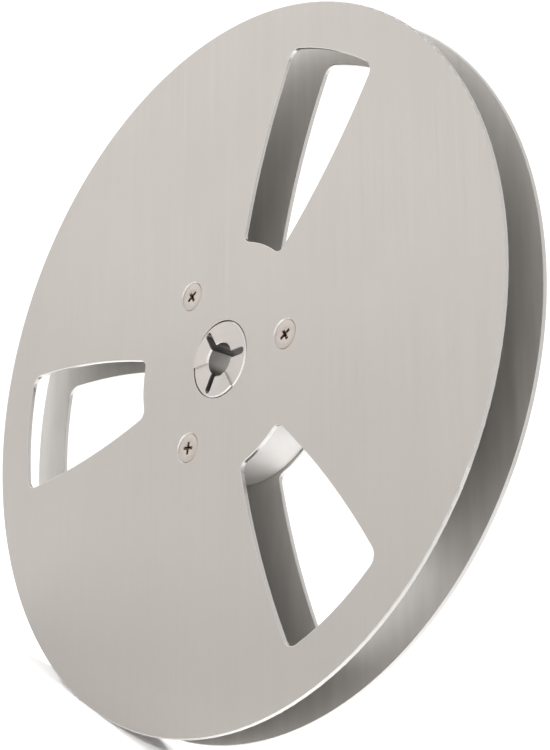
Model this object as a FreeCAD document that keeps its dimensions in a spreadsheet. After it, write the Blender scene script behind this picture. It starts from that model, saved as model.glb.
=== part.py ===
import FreeCAD, Part
import math
import os
import Sketcher

# An empty 7-inch open-reel tape spool, standing on its rim.
# The spindle axis is the row's Y axis, the front of the reel looks towards -Y and +Z is up.
# The origin is the middle of the reel. All sizes are in millimetres.

os.makedirs("parts", exist_ok=True)
doc = FreeCAD.newDocument("TapeReel")
vec = FreeCAD.Vector

# ---- driving dimensions -------------------------------------------------------------------------

sizes = {
    # the two discs
    "reel_radius": 88.9,
    "flange_thickness": 1.1,
    "flange_gap": 10.8,             # room for the tape between the two discs
    "rim_round": 0.3,
    # one window: two arcs about the spindle axis, and two sides that bow outwards
    "rim_width": 11.7,              # solid ring outside the windows
    "window_hub_margin": 0.7,       # from the hub's barrel to the window
    "window_half_width": 13.2,      # halfway along the window
    "window_side_radius": 185.0,
    "window_taper": 9.5,            # degrees between a side and the window's centre line
    "window_outer_corner": 3.0,
    "window_inner_corner": 2.2,
    "window_edge_round": 0.2,
    # the hub
    "hub_radius": 28.2,
    "hub_wall": 3.0,
    "hub_web": 1.6,
    "hub_edge_break": 0.15,
    "boss_radius": 9.35,
    "boss_clearance": 0.2,          # round the boss, in the disc's centre hole
    "ramp_rise": 0.5,
    "boss_edge_break": 0.3,         # follows the ramps round the boss
    "ramp_cutter_overlap": 0.1,     # how far the ramps' cutters reach into the air beside the boss
    "bore_radius": 4.05,
    "keyway_width": 1.8,
    "keyway_inset": 0.65,           # from the boss's edge to the keyway's round end
    "post_radius": 4.6,             # round each screw
    "rib_width": 4.0,
    "tape_slit_width": 1.2,
    # the screws
    "screw_inset": 5.8,             # from the hub's barrel to a screw's axis
    "screw_head_radius": 3.45,
    "screw_head_sink": 0.2,
    "screw_head_land": 0.15,
    "screw_shank_radius": 1.5,
    "screw_shank_clearance": 0.05,
    "screw_tip_gap": 1.0,           # between a front screw's tip and a rear screw's
    "screw_tip_chamfer": 0.4,
    "recess_length": 3.4,
    "recess_width": 0.75,
    "recess_depth": 1.2,
    "recess_taper": 6.0,            # degrees
    "countersink_clearance": 0.1,   # between a screw's cone and the hub
}
repeats = 3                         # windows, screws, keyways and ramps go round in threes

sheet = doc.addObject("Spreadsheet::Sheet", "Dims")
for row, (alias, value) in enumerate(sizes.items(), start=1):
    sheet.set("A%d" % row, alias)
    sheet.set("B%d" % row, str(value))
    sheet.setAlias("B%d" % row, alias)
doc.recompute()


def size(alias):
    return float(sheet.get(alias))


# Sizes that follow from the ones in the sheet, as expressions. A countersink's cone has a
# 90 degree angle, so it narrows by as much as it sinks.
outerFace = "(Dims.flange_gap / 2 + Dims.flange_thickness)"
windowOuter = "(Dims.reel_radius - Dims.rim_width)"
windowInner = "(Dims.hub_radius + Dims.window_hub_margin)"
screwCircle = "(Dims.hub_radius - Dims.screw_inset)"
centreHole = "(Dims.boss_radius + Dims.boss_clearance)"
shankHole = "(Dims.screw_shank_radius + Dims.screw_shank_clearance)"
flangeCone = "(Dims.screw_head_radius + Dims.screw_head_sink + Dims.screw_head_land)"
hubCone = "(%s - Dims.flange_thickness + Dims.countersink_clearance)" % flangeCone
screwLength = "(%s - Dims.screw_head_sink - Dims.screw_tip_gap / 2)" % outerFace

# ---- helpers ------------------------------------------------------------------------------------


def originPlane(body, role):
    return [f for f in body.Origin.OriginFeatures if f.Role == role][0]


def newBody(name):
    body = doc.addObject("PartDesign::Body", name)
    body.Label = name
    return body


def newSketch(body, name, role="XY_Plane", height=None):
    """A sketch on one of the body's own planes, raised by an expression where one is given."""
    sketch = body.newObject("Sketcher::SketchObject", name)
    sketch.AttachmentSupport = [(originPlane(body, role), "")]
    sketch.MapMode = "FlatFace"
    if height:
        sketch.setExpression("AttachmentOffset.Base.z", height)
    return sketch


def bind(sketch, kind, *places, value, to):
    """Adds a dimension to the sketch and ties it to the sheet."""
    index = sketch.addConstraint(Sketcher.Constraint(kind, *places, value))
    sketch.setExpression("Constraints[%d]" % index, to)


def centredCircle(sketch, radius, to):
    circle = sketch.addGeometry(Part.Circle(vec(0, 0, 0), vec(0, 0, 1), radius))
    sketch.addConstraint(Sketcher.Constraint("Coincident", circle, 3, -1, 1))
    bind(sketch, "Radius", circle, value=radius, to=to)


def circleOnScrewAxis(sketch, radius, to):
    """A circle straight below the middle, where one of the screws is."""
    below = size("hub_radius") - size("screw_inset")
    circle = sketch.addGeometry(Part.Circle(vec(0, -below, 0), vec(0, 0, 1), radius))
    sketch.addConstraint(Sketcher.Constraint("PointOnObject", circle, 3, -2))
    bind(sketch, "DistanceY", circle, 3, -1, 1, value=below, to=screwCircle)
    bind(sketch, "Radius", circle, value=radius, to=to)


def polygon(sketch, corners):
    """A closed outline of straight lines. A corner is (x, y, x expression, y expression)."""
    count = len(corners)
    for i, (x, y, _, _) in enumerate(corners):
        nextX, nextY = corners[(i + 1) % count][:2]
        sketch.addGeometry(Part.LineSegment(vec(x, y, 0), vec(nextX, nextY, 0)))
    for i, (x, y, toX, toY) in enumerate(corners):
        sketch.addConstraint(Sketcher.Constraint("Coincident", i, 2, (i + 1) % count, 1))
        for kind, value, to in (("DistanceX", x, toX), ("DistanceY", y, toY)):
            if value == 0:
                onAxis = -2 if kind == "DistanceX" else -1
                sketch.addConstraint(Sketcher.Constraint("PointOnObject", i, 1, onAxis))
            elif value > 0:
                bind(sketch, kind, -1, 1, i, 1, value=value, to=to)
            else:
                bind(sketch, kind, i, 1, -1, 1, value=-value, to=to)


def pad(body, sketch, name, to, midplane=False):
    feature = body.newObject("PartDesign::Pad", name)
    feature.Profile = sketch
    feature.Midplane = midplane
    feature.setExpression("Length", to)
    return feature


def throughPocket(body, sketch, name):
    feature = body.newObject("PartDesign::Pocket", name)
    feature.Profile = sketch
    feature.Type = "ThroughAll"
    feature.Midplane = True
    return feature


def countersunkHole(body, sketch, name, coneRadius, upwards=False):
    """A clearance hole through everything, with a 90 degree countersink at the sketch."""
    doc.recompute()
    feature = body.newObject("PartDesign::Hole", name)
    feature.Profile = sketch
    feature.DepthType = "ThroughAll"
    feature.Reversed = upwards
    feature.Threaded = False
    feature.setExpression("Diameter", "2 * " + shankHole)
    feature.HoleCutType = "Countersink"
    feature.HoleCutCustomValues = True
    feature.HoleCutCountersinkAngle = 90
    feature.setExpression("HoleCutDiameter", "2 * " + coneRadius)
    return feature


def roundTheAxis(body, name, *features):
    pattern = body.newObject("PartDesign::PolarPattern", name)
    pattern.Originals = list(features)
    pattern.Axis = (originPlane(body, "Z_Axis"), [""])
    pattern.Angle = 360
    pattern.Occurrences = repeats
    body.Tip = pattern
    return pattern


def dressEdges(body, kind, name, prop, to, wanted):
    """A fillet or chamfer on the edges of the body's tip for which wanted() is true."""
    doc.recompute()
    base = body.Tip
    names = ["Edge%d" % i for i, e in enumerate(base.Shape.Edges, start=1) if wanted(e)]
    feature = body.newObject("PartDesign::" + kind, name)
    feature.Base = (base, names)
    feature.setExpression(prop, to)
    return feature


def touching(circleA, circleB):
    """The point with the greater x where two circles, each (x, y, radius), cross."""
    ax, ay, ar = circleA
    bx, by, br = circleB
    apart = math.hypot(bx - ax, by - ay)
    along = (ar ** 2 - br ** 2 + apart ** 2) / (2 * apart)
    aside = math.sqrt(ar ** 2 - along ** 2)
    ux, uy = (bx - ax) / apart, (by - ay) / apart
    found = [(ax + along * ux - s * uy, ay + along * uy + s * ux) for s in (aside, -aside)]
    return max(found)


# ---- a flange: a thin disc with windows ---------------------------------------------------------


def drawWindow(sketch):
    """The window straight above the middle: eight arcs, each tangent to the next."""
    outer = size("reel_radius") - size("rim_width")
    inner = size("hub_radius") + size("window_hub_margin")
    side = size("window_side_radius")
    taper = math.radians(size("window_taper"))
    cornerOut = size("window_outer_corner")
    cornerIn = size("window_inner_corner")
    # the middle of the right side's circle, and of the two right-hand corners
    left = side * math.cos(taper) - size("window_half_width")
    up = (outer + inner) / 2 + side * math.sin(taper)
    outX, outY = touching((0, 0, outer - cornerOut), (-left, up, side - cornerOut))
    inX, inY = touching((0, 0, inner + cornerIn), (-left, up, side - cornerIn))
    outTurn = math.atan2(outY, outX)
    inTurn = math.atan2(inY, inX)
    sideTop = math.atan2(outY - up, outX + left)
    sideFoot = math.atan2(inY - up, inX + left)
    half, turn = math.pi, 2 * math.pi
    arcs = [
        (0, 0, outer, outTurn, half - outTurn),
        (-outX, outY, cornerOut, half - outTurn, half - sideTop),
        (left, up, side, half - sideTop, half - sideFoot),
        (-inX, inY, cornerIn, half - sideFoot, turn - inTurn),
        (0, 0, inner, inTurn, half - inTurn),
        (inX, inY, cornerIn, half + inTurn, turn + sideFoot),
        (-left, up, side, sideFoot, sideTop),
        (outX, outY, cornerOut, sideTop, outTurn),
    ]
    for x, y, radius, start, end in arcs:
        circle = Part.Circle(vec(x, y, 0), vec(0, 0, 1), radius)
        sketch.addGeometry(Part.ArcOfCircle(circle, start, end))
    joins = [(0, 2, 1, 1), (1, 2, 2, 1), (2, 2, 3, 1), (3, 2, 4, 2),
             (4, 1, 5, 1), (5, 2, 6, 1), (6, 2, 7, 1), (7, 2, 0, 1)]
    for join in joins:
        sketch.addConstraint(Sketcher.Constraint("Tangent", *join))
    for arc in (0, 4):
        sketch.addConstraint(Sketcher.Constraint("Coincident", arc, 3, -1, 1))
    for a, b in ((2, 6), (1, 7), (3, 5)):
        sketch.addConstraint(Sketcher.Constraint("Equal", a, b))
    sketch.addConstraint(Sketcher.Constraint("Symmetric", 2, 3, 6, 3, -2))
    bind(sketch, "Radius", 0, value=outer, to=windowOuter)
    bind(sketch, "Radius", 4, value=inner, to=windowInner)
    bind(sketch, "Radius", 6, value=side, to="Dims.window_side_radius")
    bind(sketch, "Radius", 7, value=cornerOut, to="Dims.window_outer_corner")
    bind(sketch, "Radius", 5, value=cornerIn, to="Dims.window_inner_corner")
    bind(sketch, "DistanceX", 6, 3, -1, 1, value=left,
         to="Dims.window_side_radius * cos(Dims.window_taper) - Dims.window_half_width")
    bind(sketch, "DistanceY", -1, 1, 6, 3, value=up,
         to="(%s + %s) / 2 + Dims.window_side_radius * sin(Dims.window_taper)" % (windowOuter, windowInner))


def edgeReach(edge):
    """How far from the axis the middle of an edge is."""
    middle = edge.valueAt((edge.FirstParameter + edge.LastParameter) / 2)
    return math.hypot(middle.x, middle.y)


def isLevel(edge):
    return edge.BoundBox.ZLength < 0.001


def makeFlange(name):
    """The disc lies on the body's XY plane, with its outer face up."""
    body = newBody(name)
    disc = newSketch(body, name + "_disc")
    centredCircle(disc, size("reel_radius"), "Dims.reel_radius")
    pad(body, disc, name + "_plate", "Dims.flange_thickness")
    hole = newSketch(body, name + "_centre")
    centredCircle(hole, size("boss_radius") + size("boss_clearance"), centreHole)
    throughPocket(body, hole, name + "_centre_hole")
    outline = newSketch(body, name + "_outline")
    drawWindow(outline)
    window = throughPocket(body, outline, name + "_window")
    spot = newSketch(body, name + "_screw_spot", height="Dims.flange_thickness")
    circleOnScrewAxis(spot, size("screw_shank_radius"), "Dims.screw_shank_radius")
    screwHole = countersunkHole(body, spot, name + "_screw_hole", flangeCone)
    roundTheAxis(body, name + "_threes", window, screwHole)
    atRim = size("reel_radius") - 0.01
    inWindow = size("hub_radius") + size("window_hub_margin") - 0.01
    dressEdges(body, "Fillet", name + "_rim", "Radius", "Dims.rim_round",
               lambda e: isLevel(e) and edgeReach(e) > atRim)
    dressEdges(body, "Fillet", name + "_window_edges", "Radius", "Dims.window_edge_round",
               lambda e: isLevel(e) and inWindow < edgeReach(e) < atRim - size("rim_width") / 2)
    return body


# ---- the hub: barrel, web, posts and the spindle boss -------------------------------------------


def makeHub(name):
    """The hub's axis is the body's Z axis, and the body's XY plane cuts it in half."""
    body = newBody(name + "_casting")
    wall = newSketch(body, "barrel_rings")
    centredCircle(wall, size("hub_radius"), "Dims.hub_radius")
    centredCircle(wall, size("hub_radius") - size("hub_wall"), "Dims.hub_radius - Dims.hub_wall")
    pad(body, wall, "barrel", "Dims.flange_gap", midplane=True)
    webDisc = newSketch(body, "web_disc")
    centredCircle(webDisc, size("hub_radius") - size("hub_wall") / 2, "Dims.hub_radius - Dims.hub_wall / 2")
    pad(body, webDisc, "web", "Dims.hub_web", midplane=True)
    bossDisc = newSketch(body, "boss_disc")
    centredCircle(bossDisc, size("boss_radius"), "Dims.boss_radius")
    pad(body, bossDisc, "boss", "2 * (%s + Dims.ramp_rise)" % outerFace, midplane=True)

    postDisc = newSketch(body, "post_disc")
    circleOnScrewAxis(postDisc, size("post_radius"), "Dims.post_radius")
    post = pad(body, postDisc, "post", "Dims.flange_gap", midplane=True)
    ribPlan = newSketch(body, "rib_plan")
    half = size("rib_width") / 2
    near = size("boss_radius") / 2
    far = size("hub_radius") - size("screw_inset")
    halfRib, nearRib = "Dims.rib_width / 2", "Dims.boss_radius / 2"
    polygon(ribPlan, [(-half, -near, halfRib, nearRib), (half, -near, halfRib, nearRib),
                      (half, -far, halfRib, screwCircle), (-half, -far, halfRib, screwCircle)])
    rib = pad(body, ribPlan, "rib", "Dims.flange_gap", midplane=True)
    roundTheAxis(body, "posts_and_ribs", post, rib)

    boreCircle = newSketch(body, "bore_circle")
    centredCircle(boreCircle, size("bore_radius"), "Dims.bore_radius")
    throughPocket(body, boreCircle, "bore")
    for end, up in (("front", True), ("rear", False)):
        mouth = newSketch(body, end + "_mouth", height="%s%s" % ("" if up else "-", outerFace))
        centredCircle(mouth, size("bore_radius"), "Dims.bore_radius")
        flare = body.newObject("PartDesign::Pocket", end + "_flare")
        flare.Profile = mouth
        flare.Reversed = up
        flare.TaperAngle = 45
        flare.setExpression("Length", "Dims.ramp_rise")

    keyPlan = newSketch(body, "keyway_plan")
    drawKeyway(keyPlan)
    keyway = throughPocket(body, keyPlan, "keyway")
    frontSpot = newSketch(body, "front_screw_spot", height="Dims.flange_gap / 2")
    circleOnScrewAxis(frontSpot, size("screw_shank_radius"), "Dims.screw_shank_radius")
    frontHole = countersunkHole(body, frontSpot, "front_screw_hole", hubCone)
    rearSpot = newSketch(body, "rear_screw_spot", height="-Dims.flange_gap / 2")
    circleOnScrewAxis(rearSpot, size("screw_shank_radius"), "Dims.screw_shank_radius")
    rearHole = countersunkHole(body, rearSpot, "rear_screw_hole", hubCone, upwards=True)
    roundTheAxis(body, "keyways_and_holes", keyway, frontHole, rearHole)

    slitPlan = newSketch(body, "slit_plan")
    slitHalf = size("tape_slit_width") / 2
    foot = size("hub_radius") - size("hub_wall") - 1
    top = size("hub_radius") + 1
    halfSlit = "Dims.tape_slit_width / 2"
    footOf, topOf = "Dims.hub_radius - Dims.hub_wall - 1", "Dims.hub_radius + 1"
    polygon(slitPlan, [(-slitHalf, foot, halfSlit, footOf), (slitHalf, foot, halfSlit, footOf),
                       (slitHalf, top, halfSlit, topOf), (-slitHalf, top, halfSlit, topOf)])
    throughPocket(body, slitPlan, "tape_slit")
    atBarrel = size("hub_radius") - 0.01
    dressEdges(body, "Chamfer", "barrel_edges", "Size", "Dims.hub_edge_break",
               lambda e: isLevel(e) and edgeReach(e) > atBarrel)

    hub = doc.addObject("Part::Cut", name)
    hub.Label = name
    hub.Base = body
    hub.Tool = rampCutters()
    return hub


def drawKeyway(sketch):
    """From the axis straight down to a round end."""
    half = size("keyway_width") / 2
    deep = size("boss_radius") - size("keyway_inset") - half
    sketch.addGeometry(Part.LineSegment(vec(half, 0, 0), vec(-half, 0, 0)))
    sketch.addGeometry(Part.LineSegment(vec(-half, 0, 0), vec(-half, -deep, 0)))
    end = Part.Circle(vec(0, -deep, 0), vec(0, 0, 1), half)
    sketch.addGeometry(Part.ArcOfCircle(end, math.pi, 2 * math.pi))
    sketch.addGeometry(Part.LineSegment(vec(half, -deep, 0), vec(half, 0, 0)))
    sketch.addConstraint(Sketcher.Constraint("Coincident", 0, 2, 1, 1))
    sketch.addConstraint(Sketcher.Constraint("Tangent", 1, 2, 2, 1))
    sketch.addConstraint(Sketcher.Constraint("Tangent", 2, 2, 3, 1))
    sketch.addConstraint(Sketcher.Constraint("Coincident", 3, 2, 0, 1))
    sketch.addConstraint(Sketcher.Constraint("Vertical", 1))
    sketch.addConstraint(Sketcher.Constraint("Symmetric", 0, 1, 0, 2, -1, 1))
    sketch.addConstraint(Sketcher.Constraint("PointOnObject", 0, 1, -1))
    bind(sketch, "DistanceY", 2, 3, -1, 1, value=deep,
         to="Dims.boss_radius - Dims.keyway_inset - Dims.keyway_width / 2")
    bind(sketch, "Radius", 2, value=half, to="Dims.keyway_width / 2")


def drawBlade(sketch):
    """The section of a ramp's cutter: X is outwards from the axis and Y is up from the ramp."""
    over, edge = size("ramp_cutter_overlap"), size("boss_edge_break")
    inside = size("bore_radius") - over
    outside = size("boss_radius") + over
    above = 2 * size("ramp_rise")
    insideOf = "Dims.bore_radius - Dims.ramp_cutter_overlap"
    outsideOf = "Dims.boss_radius + Dims.ramp_cutter_overlap"
    belowOf = "Dims.boss_edge_break + Dims.ramp_cutter_overlap"
    aboveOf = "2 * Dims.ramp_rise"
    polygon(sketch, [
        (inside, 0, insideOf, None),
        (size("boss_radius") - edge, 0, "Dims.boss_radius - Dims.boss_edge_break", None),
        (outside, -(edge + over), outsideOf, belowOf),
        (outside, above, outsideOf, aboveOf),
        (inside, above, insideOf, aboveOf),
    ])


def rampCutters():
    """What is cut from both ends of the boss, leaving ramps that rise anticlockwise from straight
    above the middle, and from every third of a turn, to a step where the next one starts."""
    cutters = []
    for end in ("front", "rear"):
        for i in range(repeats):
            turn = FreeCAD.Rotation(vec(0, 0, 1), 90 + i * 360 / repeats)
            if end == "rear":
                turn = FreeCAD.Rotation(vec(0, 1, 0), 180) * turn
            name = "%s_ramp_%d" % (end, i + 1)
            spine = doc.addObject("Part::Helix", name + "_helix")
            spine.setExpression("Pitch", "%d * Dims.ramp_rise" % repeats)
            spine.setExpression("Height", "Dims.ramp_rise")
            spine.setExpression("Radius", "Dims.boss_radius")
            blade = doc.addObject("Sketcher::SketchObject", name + "_blade")
            drawBlade(blade)
            stand = FreeCAD.Rotation(vec(1, 0, 0), 90)
            spine.Placement = FreeCAD.Placement(vec(0, 0, 0), turn)
            blade.Placement = FreeCAD.Placement(vec(0, 0, 0), turn * stand)
            for piece in (spine, blade):
                piece.setExpression("Placement.Base.z", ("" if end == "front" else "-") + outerFace)
            cutter = doc.addObject("Part::Sweep", name)
            cutter.Sections = [blade]
            cutter.Spine = (spine, ["Edge1"])
            cutter.Solid = True
            cutter.Frenet = True
            cutters.append(cutter)
    both = doc.addObject("Part::MultiFuse", "ramp_cutters")
    both.Shapes = cutters
    return both


# ---- a screw: countersunk, with a cross recess --------------------------------------------------


def makeScrew(name):
    """The tip is at the origin of the body and the head is up."""
    body = newBody(name)
    profile = newSketch(body, name + "_profile", role="XZ_Plane")
    shank, head = size("screw_shank_radius"), size("screw_head_radius")
    tip, land = size("screw_tip_chamfer"), size("screw_head_land")
    length = (size("flange_gap") / 2 + size("flange_thickness") - size("screw_head_sink")
              - size("screw_tip_gap") / 2)
    shankOf, headOf = "Dims.screw_shank_radius", "Dims.screw_head_radius"
    tipOf = "Dims.screw_tip_chamfer"
    landOf = screwLength + " - Dims.screw_head_land"
    coneOf = landOf + " - (Dims.screw_head_radius - Dims.screw_shank_radius)"
    polygon(profile, [
        (0, 0, None, None),
        (shank - tip, 0, shankOf + " - " + tipOf, None),
        (shank, tip, shankOf, tipOf),
        (shank, length - land - (head - shank), shankOf, coneOf),
        (head, length - land, headOf, landOf),
        (head, length, headOf, screwLength),
        (0, length, None, screwLength),
    ])
    turned = body.newObject("PartDesign::Revolution", name + "_turned")
    turned.Profile = profile
    turned.ReferenceAxis = (profile, ["V_Axis"])
    turned.Angle = 360
    slotPlan = newSketch(body, name + "_slot_plan", height=screwLength)
    x, y = size("recess_length") / 2, size("recess_width") / 2
    toX, toY = "Dims.recess_length / 2", "Dims.recess_width / 2"
    polygon(slotPlan, [(-x, -y, toX, toY), (x, -y, toX, toY), (x, y, toX, toY), (-x, y, toX, toY)])
    slot = body.newObject("PartDesign::Pocket", name + "_slot")
    slot.Profile = slotPlan
    slot.setExpression("Length", "Dims.recess_depth")
    slot.setExpression("TaperAngle", "-Dims.recess_taper")
    cross = body.newObject("PartDesign::PolarPattern", name + "_cross")
    cross.Originals = [slot]
    cross.Axis = (originPlane(body, "Z_Axis"), [""])
    cross.Angle = 90
    cross.Occurrences = 2
    body.Tip = cross
    return body


# ---- the assembly -------------------------------------------------------------------------------

# A body's Z axis turns to point out of the front, or out of the rear, with its Y axis upright.
facing = {
    "front": FreeCAD.Rotation(vec(1, 0, 0), 90),
    "rear": FreeCAD.Rotation(vec(0, 0, 1), 180) * FreeCAD.Rotation(vec(1, 0, 0), 90),
}
crossTurns = (20, 60, 62)          # degrees, as the screws happen to have been left
parts = []

for end in ("front", "rear"):
    sign = "-" if end == "front" else ""
    flange = makeFlange(end + "_flange")
    flange.Placement = FreeCAD.Placement(vec(0, 0, 0), facing[end])
    flange.setExpression("Placement.Base.y", sign + "Dims.flange_gap / 2")
    parts.append(flange)
    for i in range(repeats):
        screw = makeScrew("%s_screw_%d" % (end, i + 1))
        angle = -90 + i * 360 / repeats
        crossTurn = FreeCAD.Rotation(vec(0, 0, 1), crossTurns[i])
        screw.Placement = FreeCAD.Placement(vec(0, 0, 0), facing[end] * crossTurn)
        screw.setExpression("Placement.Base.x", "%s * cos(%s)" % (screwCircle, angle))
        screw.setExpression("Placement.Base.z", "%s * sin(%s)" % (screwCircle, angle))
        screw.setExpression("Placement.Base.y", sign + "Dims.screw_tip_gap / 2")
        parts.append(screw)

hub = makeHub("hub")
hub.Placement = FreeCAD.Placement(vec(0, 0, 0), facing["front"])
parts.append(hub)

doc.recompute()

# ---- checks and export --------------------------------------------------------------------------

broken = [o.Name for o in doc.Objects if "Invalid" in o.State or "Error" in o.State]
if broken:
    raise RuntimeError("failed features: " + ", ".join(broken))
for part in parts:
    if part.Shape.isNull() or not part.Shape.isValid() or len(part.Shape.Solids) != 1:
        raise RuntimeError(part.Label + " is not one valid solid")

for part in parts:
    part.Shape.exportStep("parts/%s.step" % part.Label)
    box = part.Shape.BoundBox
    print("%-15s %9.1f mm3   x %7.2f %7.2f   y %6.2f %6.2f   z %7.2f %7.2f"
          % (part.Label, part.Shape.Volume, box.XMin, box.XMax, box.YMin, box.YMax, box.ZMin, box.ZMax))
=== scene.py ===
import math

import bpy
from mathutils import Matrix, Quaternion, Vector


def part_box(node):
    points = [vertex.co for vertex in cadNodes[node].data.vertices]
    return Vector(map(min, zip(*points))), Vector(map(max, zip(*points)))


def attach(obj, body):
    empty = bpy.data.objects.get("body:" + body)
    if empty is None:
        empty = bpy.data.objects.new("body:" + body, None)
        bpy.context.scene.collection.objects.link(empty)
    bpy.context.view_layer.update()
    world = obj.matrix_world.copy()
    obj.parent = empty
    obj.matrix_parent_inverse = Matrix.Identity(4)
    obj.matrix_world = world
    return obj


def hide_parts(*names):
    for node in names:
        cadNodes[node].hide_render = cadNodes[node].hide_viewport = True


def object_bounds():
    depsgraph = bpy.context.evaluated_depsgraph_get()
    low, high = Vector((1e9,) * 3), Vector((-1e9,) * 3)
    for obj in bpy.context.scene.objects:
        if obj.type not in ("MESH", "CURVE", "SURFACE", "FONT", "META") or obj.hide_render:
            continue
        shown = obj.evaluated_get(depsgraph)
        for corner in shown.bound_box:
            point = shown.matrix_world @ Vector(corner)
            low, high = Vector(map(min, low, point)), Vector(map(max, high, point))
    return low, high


# An empty open-reel tape spool of brushed aluminium. Metres, spindle axis along Y, front towards -Y.

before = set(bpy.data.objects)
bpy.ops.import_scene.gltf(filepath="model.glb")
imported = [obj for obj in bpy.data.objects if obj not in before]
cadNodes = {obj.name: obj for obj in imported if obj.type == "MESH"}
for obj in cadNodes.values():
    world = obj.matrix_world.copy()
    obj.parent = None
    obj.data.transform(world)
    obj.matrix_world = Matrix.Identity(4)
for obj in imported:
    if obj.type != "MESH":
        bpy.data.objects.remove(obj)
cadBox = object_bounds()
print("frame loaded:", len(cadNodes), "nodes")

noiseSpan = (0.3, 0.7)              # where nearly all of a noise's values lie


# node helpers shared by all the metals

def newMaterial(name):
    material = bpy.data.materials.new(name)
    material.use_nodes = True
    tree = material.node_tree
    return material, tree, tree.nodes["Principled BSDF"]


def feed(tree, value, socket):
    # plugs a socket into a socket, or sets a plain value on it
    if isinstance(value, bpy.types.NodeSocket):
        tree.links.new(value, socket)
    else:
        socket.default_value = value


def calc(tree, operation, first, second=0.0):
    node = tree.nodes.new("ShaderNodeMath")
    node.operation = operation
    feed(tree, first, node.inputs[0])
    feed(tree, second, node.inputs[1])
    return node.outputs[0]


def remap(tree, value, fromRange, toRange, smooth=False):
    node = tree.nodes.new("ShaderNodeMapRange")
    if smooth:
        node.interpolation_type = "SMOOTHSTEP"
    feed(tree, value, node.inputs["Value"])
    node.inputs["From Min"].default_value, node.inputs["From Max"].default_value = fromRange
    feed(tree, toRange[0], node.inputs["To Min"])
    feed(tree, toRange[1], node.inputs["To Max"])
    return node.outputs["Result"]


def blend(tree, kind, factor, first, second, mode="MIX"):
    # kind is RGBA for colours and VECTOR for directions
    node = tree.nodes.new("ShaderNodeMix")
    node.data_type = kind
    node.blend_type = mode
    feed(tree, factor, node.inputs["Factor"])
    feed(tree, first, node.inputs["A"])
    feed(tree, second, node.inputs["B"])
    return node.outputs["Result"]


def objectSpace(tree):
    # place and normal in the piece's own coordinates
    node = tree.nodes.new("ShaderNodeTexCoord")
    return node.outputs["Object"], node.outputs["Normal"]


def splitAxes(tree, vector):
    node = tree.nodes.new("ShaderNodeSeparateXYZ")
    tree.links.new(vector, node.inputs[0])
    return node.outputs["X"], node.outputs["Y"], node.outputs["Z"]


def streaks(tree, place, tilt, across, along, detail=3.0):
    # noise drawn out in lines that lean by tilt from upright, both rates in waves per metre
    turn = tree.nodes.new("ShaderNodeMapping")
    turn.inputs["Rotation"].default_value = (0, tilt, 0)
    tree.links.new(place, turn.inputs["Vector"])
    stretch = tree.nodes.new("ShaderNodeVectorMath")
    stretch.operation = "MULTIPLY"
    stretch.inputs[1].default_value = (across, 0, along)
    tree.links.new(turn.outputs[0], stretch.inputs[0])
    noise = tree.nodes.new("ShaderNodeTexNoise")
    noise.inputs["Scale"].default_value = 1.0
    noise.inputs["Detail"].default_value = detail
    tree.links.new(stretch.outputs[0], noise.inputs["Vector"])
    return noise.outputs["Fac"]


def clouds(tree, place, size, detail=3.0):
    # soft patches of about the given size
    noise = tree.nodes.new("ShaderNodeTexNoise")
    noise.inputs["Scale"].default_value = 1 / size
    noise.inputs["Detail"].default_value = detail
    tree.links.new(place, noise.inputs["Vector"])
    return noise.outputs["Fac"]


def vary(tree, pattern, span):
    # a pattern's values spread over span
    return remap(tree, pattern, noiseSpan, span)


def bump(tree, height, depth, strength):
    node = tree.nodes.new("ShaderNodeBump")
    node.inputs["Distance"].default_value = depth
    node.inputs["Strength"].default_value = strength
    tree.links.new(height, node.inputs["Height"])
    return node.outputs[0]


def dress(node, material):
    cadNodes[node].data.materials.clear()
    cadNodes[node].data.materials.append(material)


# the two flanges: straight-brushed faces and turned edges; the edges and inner faces get lighter tints than
# the outer faces, a painted highlight on the edges and painted light on the inner faces

flangeFinish = {
    "grainTilt": 30.9,              # degrees the brush lines lean from upright, towards -X
    "faceBand": (0.93, 0.998),      # how squarely a surface looks along the axis: edge, then flat face
    "outerTint": (0.43, 0.407, 0.386),
    # painted light: the inner faces are tinted lighter than the outer faces
    "innerLitTint": (0.635, 0.617, 0.595),
    # painted highlight: the turned edges are tinted lighter than the outer faces
    "edgeHighlightTint": (0.65, 0.636, 0.622),
    "outerRoughness": 0.34,
    "innerRoughness": 0.52,
    "edgeRoughness": 0.27,
    "anisotropy": 0.7,
    # brushing, each as waves per metre across and along the lines
    "fineLine": (2600, 18), "fineDetail": 4,
    "wideLine": (620, 7),
    "band": (70, 9),
    "mottle": (260, 40),            # on the inner faces only
    "smudge": 0.035,                # size of the hand marks
    # how much lighter or darker each makes the metal
    "fineTone": (0.98, 1.02), "wideTone": (0.99, 1.01), "bandTone": (0.993, 1.007),
    "mottleTone": (0.95, 1.05), "smudgeTone": (0.99, 1.01),
    # roughness that each takes off or adds
    "fineWear": (-0.04, 0.05), "smudgeWear": (-0.02, 0.03),
    "lineDepth": 0.00001, "lineStrength": 0.3,
}


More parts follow.
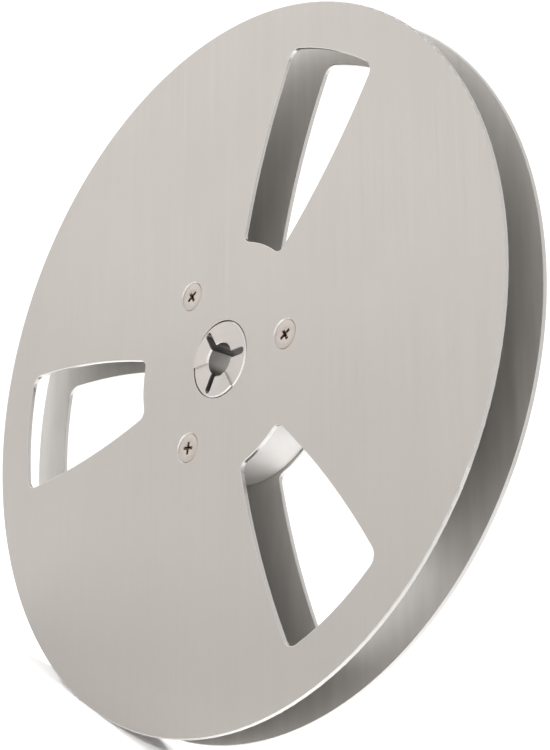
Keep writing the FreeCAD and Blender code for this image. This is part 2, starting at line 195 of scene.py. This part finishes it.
def brushedFlange(name, look, outward):
    # outward is -1 when the outer face looks towards -Y, 1 when it looks towards +Y
    material, tree, shader = newMaterial(name)
    place, normal = objectSpace(tree)
    tilt = math.radians(look["grainTilt"])
    fine = streaks(tree, place, tilt, *look["fineLine"], look["fineDetail"])
    wide = streaks(tree, place, tilt, *look["wideLine"])
    band = streaks(tree, place, tilt, *look["band"])
    smudge = clouds(tree, place, look["smudge"])
    # each is 1 on its own flat face, both are 0 on the rims, the window walls and their rounded corners
    facing = calc(tree, "MULTIPLY", splitAxes(tree, normal)[1], outward)
    onOuter = remap(tree, facing, look["faceBand"], (0.0, 1.0), smooth=True)
    onInner = remap(tree, calc(tree, "MULTIPLY", facing, -1), look["faceBand"], (0.0, 1.0), smooth=True)

    tone = vary(tree, fine, look["fineTone"])
    for pattern, span in ((wide, "wideTone"), (band, "bandTone"), (smudge, "smudgeTone")):
        tone = calc(tree, "MULTIPLY", tone, vary(tree, pattern, look[span]))
    mottle = vary(tree, streaks(tree, place, tilt, *look["mottle"]), look["mottleTone"])
    tone = calc(tree, "MULTIPLY", tone, remap(tree, onInner, (0, 1), (1.0, mottle)))
    # painted highlight and painted light: the edges and inner faces are coloured lighter than the outer
    # faces
    colour = blend(tree, "RGBA", onOuter, (*look["edgeHighlightTint"], 1), (*look["outerTint"], 1))
    colour = blend(tree, "RGBA", onInner, colour, (*look["innerLitTint"], 1))
    feed(tree, blend(tree, "RGBA", 1.0, colour, tone, "MULTIPLY"), shader.inputs["Base Color"])

    worn = calc(tree, "ADD", vary(tree, fine, look["fineWear"]), vary(tree, smudge, look["smudgeWear"]))
    outer = calc(tree, "ADD", worn, look["outerRoughness"])
    inner = calc(tree, "ADD", worn, look["innerRoughness"])
    roughness = remap(tree, onOuter, (0, 1), (look["edgeRoughness"], outer))
    roughness = remap(tree, onInner, (0, 1), (roughness, inner))
    feed(tree, roughness, shader.inputs["Roughness"])
    lines = calc(tree, "MULTIPLY", fine, onOuter)
    feed(tree, bump(tree, lines, look["lineDepth"], look["lineStrength"]), shader.inputs["Normal"])
    shader.inputs["Metallic"].default_value = 1.0
    shader.inputs["Anisotropic"].default_value = look["anisotropy"]
    # gloss spreads across the brush lines on the faces, along the axis on the turned edges
    onFace = calc(tree, "ADD", onOuter, onInner)
    acrossLines = (math.cos(tilt), 0, math.sin(tilt))
    feed(tree, blend(tree, "VECTOR", onFace, (0, 1, 0), acrossLines), shader.inputs["Tangent"])
    return material


dress("front_flange", brushedFlange("brushed_front", flangeFinish, -1))
dress("rear_flange", brushedFlange("brushed_rear", flangeFinish, 1))
print("flanges dressed")

# the hub: fine turned casting; its barrel and the side walls of its boss are tinted lighter than its ends,
# painted light on the barrel and a painted highlight on the boss walls

hubFinish = {
    "endTint": (0.445, 0.418, 0.400),
    # painted light: the barrel is tinted lighter than the ends
    "barrelLitTint": (0.82, 0.81, 0.795),
    # painted highlight: the side walls of the boss are tinted lighter than the ends
    "bossHighlightTint": (0.86, 0.85, 0.835),
    "boreTint": (0.48, 0.468, 0.455),
    "endBand": (0.6, 0.95),         # how squarely a surface looks along the axis: side, then end
    "boreReach": 0.0088,            # the bore and its keyways lie inside this radius
    "boreDepth": 0.0064,            # and this far from the middle of the spool
    "bossReach": 0.012,             # the boss lies inside this radius
    "roughness": 0.33,
    "barrelRoughness": 0.72,
    "toolMark": 5200,               # turned lines per metre
    "patch": 0.006, "patchDetail": 4,
    "markTone": (0.98, 1.02), "patchTone": (0.96, 1.03),
    "markWear": (-0.03, 0.03), "patchWear": (-0.05, 0.07),
    "markDepth": 0.000006, "markStrength": 0.3,
}


def turnedHub(look):
    material, tree, shader = newMaterial("turned_hub")
    place, normal = objectSpace(tree)
    x, y, z = splitAxes(tree, place)
    squares = calc(tree, "ADD", calc(tree, "MULTIPLY", x, x), calc(tree, "MULTIPLY", z, z))
    reach = calc(tree, "SQRT", squares)
    along = calc(tree, "ABSOLUTE", splitAxes(tree, normal)[1])
    onEnd = remap(tree, along, look["endBand"], (0.0, 1.0), smooth=True)
    inBore = calc(tree, "MULTIPLY", calc(tree, "LESS_THAN", reach, look["boreReach"]),
                  calc(tree, "LESS_THAN", calc(tree, "ABSOLUTE", y), look["boreDepth"]))
    pastBoss = calc(tree, "GREATER_THAN", reach, look["bossReach"])
    # the tool leaves rings on the ends and lines round the barrel
    rings = tree.nodes.new("ShaderNodeTexNoise")
    rings.noise_dimensions = "1D"
    rings.inputs["Scale"].default_value = look["toolMark"]
    rings.inputs["Detail"].default_value = 3.0
    tree.links.new(calc(tree, "ADD", reach, y), rings.inputs["W"])
    marks = rings.outputs["Fac"]
    patch = clouds(tree, place, look["patch"], look["patchDetail"])

    tone = calc(tree, "MULTIPLY", vary(tree, marks, look["markTone"]), vary(tree, patch, look["patchTone"]))
    # painted highlight and painted light: the boss walls and the barrel are coloured lighter than the ends
    # and the bore
    colour = blend(tree, "RGBA", inBore, (*look["bossHighlightTint"], 1), (*look["boreTint"], 1))
    colour = blend(tree, "RGBA", pastBoss, colour, (*look["barrelLitTint"], 1))
    colour = blend(tree, "RGBA", onEnd, colour, (*look["endTint"], 1))
    feed(tree, blend(tree, "RGBA", 1.0, colour, tone, "MULTIPLY"), shader.inputs["Base Color"])

    worn = calc(tree, "ADD", vary(tree, marks, look["markWear"]), vary(tree, patch, look["patchWear"]))
    dulled = remap(tree, pastBoss, (0, 1), (look["roughness"], look["barrelRoughness"]))
    feed(tree, calc(tree, "ADD", worn, dulled), shader.inputs["Roughness"])
    feed(tree, bump(tree, marks, look["markDepth"], look["markStrength"]), shader.inputs["Normal"])
    shader.inputs["Metallic"].default_value = 1.0
    return material


dress("hub", turnedHub(hubFinish))
print("hub dressed")

# the six screws: plated steel, pitted a little, with painted shade down in the cross and painted highlight
# specks in it

screwFinish = {
    "faceTint": (0.425, 0.386, 0.353),
    # painted shade: the dark colour down in the cross
    "recessShadeTint": (0.12, 0.088, 0.066),
    # painted highlight: the colour of bright specks down in the cross
    "glintTint": (0.62, 0.55, 0.47),
    "faceLevel": 0.0063,            # how far the faces of the heads lie from the middle of the spool
    "shadeStartDepth": 0.00006,          # how far down the cross the painted shade starts
    "fullShadeDepth": 0.00045,           # how far down the cross the painted shade is full
    "roughness": 0.33,
    "pitSize": 0.00022, "pitDetail": 2,
    "glintSize": 0.00035, "glintDetail": 1,
    "glintBand": (0.53, 0.60),      # how strong the noise must be for a glint to start, and to be full
    "pitTone": (0.94, 1.05), "pitWear": (-0.04, 0.06),
    "pitDepth": 0.000012, "pitStrength": 0.4,
}


def platedScrew(look):
    material, tree, shader = newMaterial("plated_screw")
    place, normal = objectSpace(tree)
    level = calc(tree, "ABSOLUTE", splitAxes(tree, place)[1])
    # painted shade: the colour darkens from the head's face down into the cross
    fullShadeLevel, shadeStartLevel = look["faceLevel"] - look["fullShadeDepth"], look["faceLevel"] - look["shadeStartDepth"]
    inRecess = remap(tree, level, (fullShadeLevel, shadeStartLevel), (1.0, 0.0))
    pits = clouds(tree, place, look["pitSize"], look["pitDetail"])
    # painted highlight: bright specks of colour down in the cross
    glint = clouds(tree, place, look["glintSize"], look["glintDetail"])
    glint = remap(tree, glint, look["glintBand"], (0.0, 1.0))
    tone = vary(tree, pits, look["pitTone"])
    face = blend(tree, "RGBA", 1.0, (*look["faceTint"], 1), tone, "MULTIPLY")
    recess = blend(tree, "RGBA", glint, (*look["recessShadeTint"], 1), (*look["glintTint"], 1))
    # painted shade down in the cross, flecked with painted highlights
    feed(tree, blend(tree, "RGBA", inRecess, face, recess), shader.inputs["Base Color"])
    roughness = calc(tree, "ADD", vary(tree, pits, look["pitWear"]), look["roughness"])
    feed(tree, roughness, shader.inputs["Roughness"])
    feed(tree, bump(tree, pits, look["pitDepth"], look["pitStrength"]), shader.inputs["Normal"])
    shader.inputs["Metallic"].default_value = 1.0
    return material


screwMetal = platedScrew(screwFinish)

# one countersunk cross-head screw, stood head up, then a copy for each place

screwShape = {
    "length": 0.0058, "headRadius": 0.00345, "land": 0.00015,
    "shankRadius": 0.0015, "tipChamfer": 0.0004, "sides": 72,
    "slotLength": 0.0034, "slotWidth": 0.00082, "slotDepth": 0.0011, "slotTaper": 6,
    "pitWidth": 0.00165, "pitDepth": 0.0012, "pitTaper": 24,
    "punchSpare": 0.0005,           # how far a punch stands out above the head
    "wornEdge": 0.00005,
    "bevelAngle": 35, "smoothAngle": 32,
    "crossTurns": {"1": 20, "2": 60, "3": 62},      # degrees, as the screws happen to have been left
}


def clearSelection():
    bpy.ops.object.select_all(action="DESELECT")


def pickFaces(piece, wanted):
    # in edit mode, selects just the faces that wanted(face) holds for
    bpy.ops.mesh.select_all(action="DESELECT")
    bpy.ops.object.mode_set(mode="OBJECT")
    for face in piece.data.polygons:
        face.select = wanted(face)
    bpy.ops.object.mode_set(mode="EDIT")


def pushIn(depth, scale=1.0):
    # extrudes the selected face straight down and sizes its far end
    bpy.ops.mesh.extrude_region_move(TRANSFORM_OT_translate={"value": (0, 0, -depth)})
    bpy.ops.transform.resize(value=(scale, scale, 1))


def useModifier(piece, kind, name, **values):
    modifier = piece.modifiers.new(name, kind)
    for key, value in values.items():
        setattr(modifier, key, value)
    bpy.context.view_layer.objects.active = piece
    bpy.ops.object.modifier_apply(modifier=name)


def turnedBlank(shape):
    clearSelection()
    bpy.ops.mesh.primitive_circle_add(vertices=shape["sides"], radius=shape["headRadius"],
                                      fill_type="NGON", location=(0, 0, shape["length"]))
    blank = bpy.context.object
    blank.name = "screw_blank"
    bpy.ops.object.transform_apply(location=True, rotation=True, scale=True)
    cone = shape["headRadius"] - shape["shankRadius"]       # a 90 degree countersink
    bpy.ops.object.mode_set(mode="EDIT")
    pushIn(shape["land"])
    pushIn(cone, shape["shankRadius"] / shape["headRadius"])
    pushIn(shape["length"] - shape["land"] - cone - shape["tipChamfer"])
    pushIn(shape["tipChamfer"], 1 - shape["tipChamfer"] / shape["shankRadius"])
    bpy.ops.mesh.select_all(action="SELECT")
    bpy.ops.mesh.normals_make_consistent(inside=False)
    bpy.ops.object.mode_set(mode="OBJECT")
    return blank


def taperedPunch(shape, tool, length, width, turn):
    # a square-ended blade of the tool's depth and taper, narrower at the bottom
    top, spare = shape["length"], shape["punchSpare"]
    depth, taper = shape[tool + "Depth"], shape[tool + "Taper"]
    clearSelection()
    bpy.ops.mesh.primitive_cube_add(size=1, location=(0, 0, top + (spare - depth) / 2))
    punch = bpy.context.object
    punch.name = tool + "_punch"
    punch.scale = (length, width, depth + spare)
    punch.rotation_euler = (0, 0, math.radians(turn))
    bpy.ops.object.transform_apply(location=True, rotation=False, scale=True)
    bpy.ops.object.mode_set(mode="EDIT")
    pickFaces(punch, lambda face: face.normal.z < -0.9)
    narrower = 2 * depth * math.tan(math.radians(taper))
    bpy.ops.transform.resize(value=(1 - narrower / length, 1 - narrower / width, 1))
    bpy.ops.object.mode_set(mode="OBJECT")
    bpy.ops.object.transform_apply(location=True, rotation=True, scale=True)
    return punch


def makeScrew(shape):
    screw = turnedBlank(shape)
    punches = [
        taperedPunch(shape, "slot", shape["slotLength"], shape["slotWidth"], 0),
        taperedPunch(shape, "slot", shape["slotLength"], shape["slotWidth"], 90),
        taperedPunch(shape, "pit", shape["pitWidth"], shape["pitWidth"], 45),
    ]
    for punch in punches:
        useModifier(screw, "BOOLEAN", "recess", operation="DIFFERENCE", object=punch, solver="EXACT")
        bpy.data.objects.remove(punch)
    useModifier(screw, "BEVEL", "worn_edges", width=shape["wornEdge"], segments=2, limit_method="ANGLE",
                angle_limit=math.radians(shape["bevelAngle"]), harden_normals=False)
    clearSelection()
    screw.select_set(True)
    bpy.ops.object.shade_smooth_by_angle(angle=math.radians(shape["smoothAngle"]))
    return screw


firstScrew = makeScrew(screwShape)
firstScrew.data.materials.append(screwMetal)
for node in sorted(name for name in cadNodes if "screw" in name):
    low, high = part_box(node)
    middle = (low + high) / 2
    front = middle.y < 0
    clearSelection()
    firstScrew.select_set(True)
    bpy.context.view_layer.objects.active = firstScrew
    bpy.ops.object.duplicate(linked=False)
    screw = bpy.context.object
    screw.name = node + "_turned"
    turn = math.radians(screwShape["crossTurns"][node[-1]])
    screw.rotation_euler = (math.radians(90 if front else -90), 0, 0)
    screw.rotation_euler.rotate_axis("Z", turn)
    screw.location = (middle.x, high.y if front else low.y, middle.z)      # the tip
    bpy.ops.object.transform_apply(location=True, rotation=True, scale=True)
    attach(screw, "root")
    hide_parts(node)
bpy.data.objects.remove(firstScrew)
print("screws made")

# the floor that the spool stands on

floorSettings = {"radius": 1.4, "tint": (0.93, 0.93, 0.93), "roughness": 0.9, "gloss": 0.1}
clearSelection()
bpy.ops.mesh.primitive_circle_add(vertices=96, radius=floorSettings["radius"], fill_type="NGON",
                                  location=(0, 0, cadBox[0].z))
floor = bpy.context.object
floor.name = "floor"
floorPaint, _, shader = newMaterial("floor_paint")
shader.inputs["Base Color"].default_value = (*floorSettings["tint"], 1)
shader.inputs["Roughness"].default_value = floorSettings["roughness"]
shader.inputs["Specular IOR Level"].default_value = floorSettings["gloss"]
floor.data.materials.append(floorPaint)

# the studio round it: an even pale room with three brighter cards

studio = {
    "horizon": 0.90, "zenith": 0.85,
    "zenithHeight": 0.9,            # upward part of a direction at which the zenith's strength is reached
    "tint": (1.0, 0.985, 0.972),
    # direction, strength added, degrees at which it fades out, degrees inside which it is full
    "cards": {
        "backdrop": ((-0.776, 0.629, -0.02), 0.35, 40, 17),
        "frontWall": ((-0.80, -0.52, 0.18), 0.72, 42, 10),
        "keyCard": ((0.66, -0.75, -0.05), 0.36, 36, 12),
    },
}
world = bpy.data.worlds.new("studio")
bpy.context.scene.world = world
world.use_nodes = True
tree = world.node_tree
direction = tree.nodes.new("ShaderNodeTexCoord").outputs["Generated"]
upward = splitAxes(tree, direction)[2]
glow = remap(tree, upward, (0.0, studio["zenithHeight"]), (studio["horizon"], studio["zenith"]))
for toward, strength, fadeAngle, fullAngle in studio["cards"].values():
    lean = tree.nodes.new("ShaderNodeVectorMath")
    lean.operation = "DOT_PRODUCT"
    lean.inputs[1].default_value = Vector(toward).normalized()
    tree.links.new(direction, lean.inputs[0])
    span = (math.cos(math.radians(fadeAngle)), math.cos(math.radians(fullAngle)))
    card = remap(tree, lean.outputs["Value"], span, (0.0, strength), smooth=True)
    glow = calc(tree, "ADD", glow, card)
tree.links.new(glow, tree.nodes["Background"].inputs["Strength"])
tree.nodes["Background"].inputs["Color"].default_value = (*studio["tint"], 1)


# soft lamps that lift the floor and don't show in the metal

def addLamp(kind, name, place, towards, energy):
    clearSelection()
    bpy.ops.object.light_add(type=kind, location=place)
    lamp = bpy.context.object
    lamp.name = name
    lamp.data.energy = energy
    lamp.rotation_mode = "QUATERNION"
    lamp.rotation_quaternion = Vector(towards).to_track_quat("-Z", "Y")
    lamp.visible_glossy = False
    return lamp


# place, aim, watts, cone in degrees, radius of the lamp
floorLamps = {
    "behind": ((0.30, 0.75, 0.50), (-0.09, 0.09, -0.09), 30, 32, 0.08),
    "left": ((-0.90, -0.15, 0.32), (-0.03, -0.008, -0.09), 16, 12, 0.05),
    "front": ((0.50, -0.75, 0.35), (0.01, -0.02, -0.09), 30, 11, 0.05),
}
for name, (place, aim, watts, cone, radius) in floorLamps.items():
    lamp = addLamp("SPOT", name + "_floor_lamp", place, Vector(aim) - Vector(place), watts)
    lamp.data.spot_size = math.radians(cone)
    lamp.data.spot_blend = 1.0
    lamp.data.shadow_soft_size = radius

daylight = {"place": (0, 0, 2), "towards": (-0.75, -0.42, -0.80), "strength": 1.9, "spread": 40}
sun = addLamp("SUN", "daylight", daylight["place"], daylight["towards"], daylight["strength"])
sun.data.angle = math.radians(daylight["spread"])
print("studio ready")

# camera

cameraSettings = {
    "lens": 91.55, "sensor": 36.0, "nearest": 0.01, "distance": 0.45398,
    "azimuth": 50.959, "elevation": 2.515, "roll": 20.261,
    "aim": (0.0053, 0.0066, 0.0008),
}
cameraData = bpy.data.cameras.new("camera")
cameraData.lens = cameraSettings["lens"]
cameraData.sensor_width = cameraSettings["sensor"]
cameraData.clip_start = cameraSettings["nearest"]
camera = bpy.data.objects.new("camera", cameraData)
bpy.context.scene.collection.objects.link(camera)
azimuth = math.radians(cameraSettings["azimuth"])
elevation = math.radians(cameraSettings["elevation"])
back = Vector((math.sin(azimuth) * math.cos(elevation), -math.cos(azimuth) * math.cos(elevation),
               math.sin(elevation)))
camera.location = Vector(cameraSettings["aim"]) + back * cameraSettings["distance"]
camera.rotation_mode = "QUATERNION"
roll = Quaternion((0, 0, 1), math.radians(cameraSettings["roll"]))
camera.rotation_quaternion = (-back).to_track_quat("-Z", "Y") @ roll
bpy.context.scene.camera = camera
bpy.context.scene.view_settings.view_transform = "Standard"
print("camera ready")
